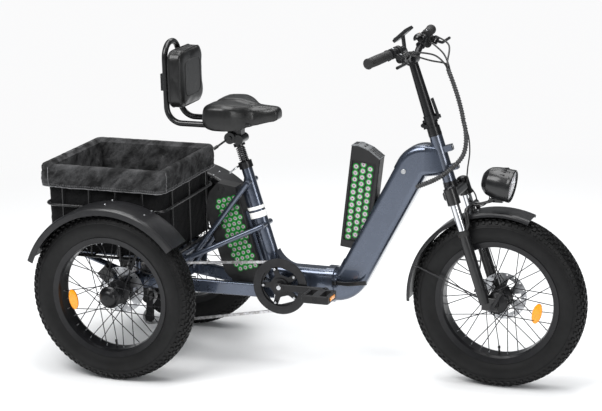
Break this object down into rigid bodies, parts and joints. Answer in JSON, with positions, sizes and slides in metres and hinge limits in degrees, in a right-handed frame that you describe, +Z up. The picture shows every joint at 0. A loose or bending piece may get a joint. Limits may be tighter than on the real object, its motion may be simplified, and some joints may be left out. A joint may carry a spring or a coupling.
{
  "type": "adult electric tricycle",
  "caption": "Step-through folding adult tricycle with fat tyres, sprung fork, rear cargo basket, sprung seat with backrest, lamp and two battery packs.",
  "frame": {"origin": "on the ground, under the centre of the overall box", "axes": "+X forward, +Y to the rider's left, +Z up"},
  "size_m": [1.858, 0.754, 1.2029],
  "materials": {
    "frame_paint": "metallic satin",
    "black_paint": "satin",
    "black_alloy": "anodised black, satin",
    "bright_alloy": "satin",
    "steel": "brushed",
    "chain_steel": "oiled",
    "chrome": "polished",
    "fender": "fine satin",
    "black_plastic": "matt, moulded",
    "gloss_black": "gloss",
    "tyre": "matt",
    "rubber": "matt",
    "leather": "fine grained",
    "liner": "coated heather cloth",
    "lens": "clear"
  },
  "bodies": {
    "rear_frame": {"rear_frame": "frame_paint", "rear_bearings": "steel", "drive_motor": "black_paint", "rear_calipers": "black_paint", "rear_fenders": "fender", "basket_frame": "black_paint", "basket_liner": "liner", "derailleur": "black_plastic", "frame_hinge_pin": "steel", "seat_clamp": "black_alloy", "chain": "chain_steel"},
    "front_frame": {"front_frame": "frame_paint", "headset_bearings": "black_alloy"},
    "frame_latch": {"frame_latch": "black_alloy"},
    "fork_upper": {"fork_crown": "black_paint", "stem_lower": "black_alloy"},
    "fork_lower": {"fork_lowers": "black_paint", "front_axle": "black_alloy", "front_caliper": "black_paint", "front_fender": "fender", "headlight_housing": "gloss_black", "headlight_lens": "lens"},
    "front_wheel": {"front_tyre": "tyre", "front_rim": "black_alloy", "front_spokes": "chain_steel", "front_hub": "black_alloy", "front_rotor": "steel"},
    "right_wheel": {"right_tyre": "tyre", "right_rim": "black_alloy", "right_spokes": "chain_steel", "right_hub": "black_alloy", "right_rotor": "steel"},
    "left_wheel": {"left_tyre": "tyre", "left_rim": "black_alloy", "left_spokes": "chain_steel", "left_hub": "black_alloy", "left_rotor": "steel"},
    "crankset": {"chainring": "black_alloy", "crank_arms": "black_alloy"},
    "right_pedal": {"right_pedal": "black_plastic"},
    "left_pedal": {"left_pedal": "black_plastic"},
    "cassette": {"cassette": "chain_steel"},
    "seat_post": {"seat_post": "bright_alloy", "seat_spring": "steel"},
    "saddle": {"saddle_frame": "black_paint", "saddle_cushion": "leather", "backrest_cushion": "leather"},
    "battery_cradle": {"battery_cradle": "black_plastic"},
    "front_battery": {"front_battery": "black_plastic"},
    "rear_battery": {"rear_battery": "black_plastic"},
    "stem": {"stem_post": "black_alloy", "handlebar": "black_alloy", "grips": "rubber", "control_clamps": "black_plastic", "display": "gloss_black"},
    "stem_latch": {"stem_latch": "black_alloy"},
    "right_brake_lever": {"right_brake_lever": "black_alloy"},
    "left_brake_lever": {"left_brake_lever": "black_alloy"},
    "throttle_lever": {"throttle_lever": "black_plastic"},
    "shift_lever": {"shift_lever": "black_plastic"}
  },
  "joints": [
    {"name": "frame_fold", "type": "hinge", "parent": "rear_frame", "child": "front_frame", "pos_m": [0.052, 0.057, 0.3], "axis": [0, 0, -1], "range_deg": [-135, 0]},
    {"name": "frame_latch", "type": "hinge", "parent": "front_frame", "child": "frame_latch", "pos_m": [0.076, -0.052, 0.318], "axis": [0, 0, -1], "range_deg": [0, 85]},
    {"name": "steering", "type": "hinge", "parent": "front_frame", "child": "fork_upper", "pos_m": [0.465, 0, 0.688], "axis": [0.3007, 0, -0.9537], "range_deg": [-40, 40]},
    {"name": "fork_travel", "type": "slide", "parent": "fork_upper", "child": "fork_lower", "axis": [-0.3007, 0, 0.9537], "range_m": [0, 0.04]},
    {"name": "front_wheel_spin", "type": "hinge", "parent": "fork_lower", "child": "front_wheel", "pos_m": [0.636, 0, 0.293], "axis": [0, 1, 0], "continuous": true},
    {"name": "right_wheel_spin", "type": "hinge", "parent": "rear_frame", "child": "right_wheel", "pos_m": [-0.622, -0.315, 0.293], "axis": [0, 1, 0], "continuous": true},
    {"name": "left_wheel_spin", "type": "hinge", "parent": "rear_frame", "child": "left_wheel", "pos_m": [-0.622, 0.315, 0.293], "axis": [0, 1, 0], "continuous": true},
    {"name": "crank_spin", "type": "hinge", "parent": "rear_frame", "child": "crankset", "pos_m": [-0.107, 0, 0.3], "axis": [0, -1, 0], "continuous": true, "deforming": ["chain"]},
    {"name": "right_pedal_spin", "type": "hinge", "parent": "crankset", "child": "right_pedal", "pos_m": [0.058, -0.157, 0.3], "axis": [0, 1, 0], "continuous": true},
    {"name": "left_pedal_spin", "type": "hinge", "parent": "crankset", "child": "left_pedal", "pos_m": [-0.272, 0.157, 0.3], "axis": [0, 1, 0], "continuous": true},
    {"name": "cassette_spin", "type": "hinge", "parent": "rear_frame", "child": "cassette", "pos_m": [-0.622, -0.08, 0.293], "axis": [0, -1, 0], "continuous": true},
    {"name": "stem_fold", "type": "hinge", "parent": "fork_upper", "child": "stem", "pos_m": [0.37911, 0, 0.87062], "axis": [0, -1, 0], "range_deg": [0, 75]},
    {"name": "stem_latch", "type": "hinge", "parent": "stem", "child": "stem_latch", "pos_m": [0.42735, 0, 0.90051], "axis": [0, 1, 0], "range_deg": [0, 100]},
    {"name": "right_brake", "type": "hinge", "parent": "stem", "child": "right_brake_lever", "pos_m": [0.35501, -0.184, 1.12338], "axis": [-0.4428, 0, -0.8966], "range_deg": [0, 18]},
    {"name": "left_brake", "type": "hinge", "parent": "stem", "child": "left_brake_lever", "pos_m": [0.35501, 0.184, 1.12338], "axis": [0.4428, 0, 0.8966], "range_deg": [0, 18]},
    {"name": "throttle", "type": "hinge", "parent": "stem", "child": "throttle_lever", "pos_m": [0.33404, 0.167, 1.13612], "axis": [0.187, -0.9813, 0.0452], "range_deg": [0, 30]},
    {"name": "shifter", "type": "hinge", "parent": "stem", "child": "shift_lever", "pos_m": [0.33404, -0.167, 1.13612], "axis": [-0.187, -0.9813, -0.0452], "range_deg": [0, 30]},
    {"name": "seat_height", "type": "slide", "parent": "rear_frame", "child": "seat_post", "axis": [-0.2924, 0, 0.9563], "range_m": [0, 0.1]},
    {"name": "seat_travel", "type": "slide", "parent": "seat_post", "child": "saddle", "axis": [-0.2924, 0, 0.9563], "range_m": [-0.03, 0], "deforming": ["seat_spring"]},
    {"name": "battery_tilt", "type": "hinge", "parent": "front_frame", "child": "battery_cradle", "pos_m": [0.17501, 0, 0.35269], "axis": [0, 1, 0], "range_deg": [0, 21]},
    {"name": "battery_lift", "type": "slide", "parent": "battery_cradle", "child": "front_battery", "axis": [0.1323, 0, 0.9912], "range_m": [-0.07, 0]},
    {"name": "rear_battery_slide", "type": "slide", "parent": "rear_frame", "child": "rear_battery", "axis": [-0.2924, 0, 0.9563], "range_m": [0, 0.06]}
  ],
  "couplings": [
    {"joint": "cassette_spin", "follows": "crank_spin", "ratio": 1.9091},
    {"joint": "battery_lift", "follows": "battery_tilt", "m_per_rad": -0.19099}
  ]
}
